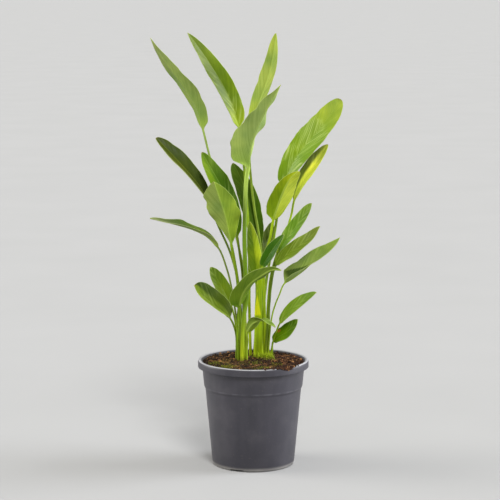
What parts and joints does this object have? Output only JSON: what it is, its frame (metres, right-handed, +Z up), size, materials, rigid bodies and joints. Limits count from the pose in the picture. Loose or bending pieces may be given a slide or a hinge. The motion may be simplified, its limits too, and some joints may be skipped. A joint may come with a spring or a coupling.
{
  "type": "potted bird of paradise plant",
  "caption": "Young bird of paradise with upright long-stalked oblong leaves, growing in peat soil in a round tapered nursery pot.",
  "frame": {"origin": "middle of the pot's base, on the surface that it stands on", "axes": "+Z up along the pot's axis; -Y is the side that faced the viewer and +X is to that viewer's right"},
  "size_m": [0.3314, 0.2145, 0.7397],
  "materials": {
    "pot_plastic": "satin",
    "peat_soil": "matte",
    "leaf_green": "satin",
    "leaf_dark": "satin",
    "leaf_pale": "satin",
    "leaf_lime": "satin"
  },
  "bodies": {
    "root": {"pot": "pot_plastic", "soil": "peat_soil", "leaf_tall_left": "leaf_pale", "leaf_tall_mid_left": "leaf_green", "leaf_tall_centre": "leaf_lime", "leaf_front_centre": "leaf_pale", "leaf_broad_right": "leaf_green", "leaf_folded_right": "leaf_lime", "leaf_gold_right": "leaf_lime", "leaf_glossy_right": "leaf_dark", "leaf_sheath": "leaf_lime", "leaf_olive_right": "leaf_green", "leaf_boat_right": "leaf_pale", "leaf_cupped_left": "leaf_dark", "leaf_small_left": "leaf_green", "leaf_arching_left": "leaf_pale", "leaf_crossing_front": "leaf_green", "leaf_upper_left": "leaf_dark", "leaf_glossy_left": "leaf_dark", "leaf_pale_front": "leaf_pale", "leaf_dark_back": "leaf_dark", "leaf_young_lime": "leaf_lime", "leaf_low_right": "leaf_green", "leaf_dark_low_right": "leaf_dark", "leaf_twisted_front": "leaf_pale", "leaf_olive_back": "leaf_green"}
  },
  "joints": []
}
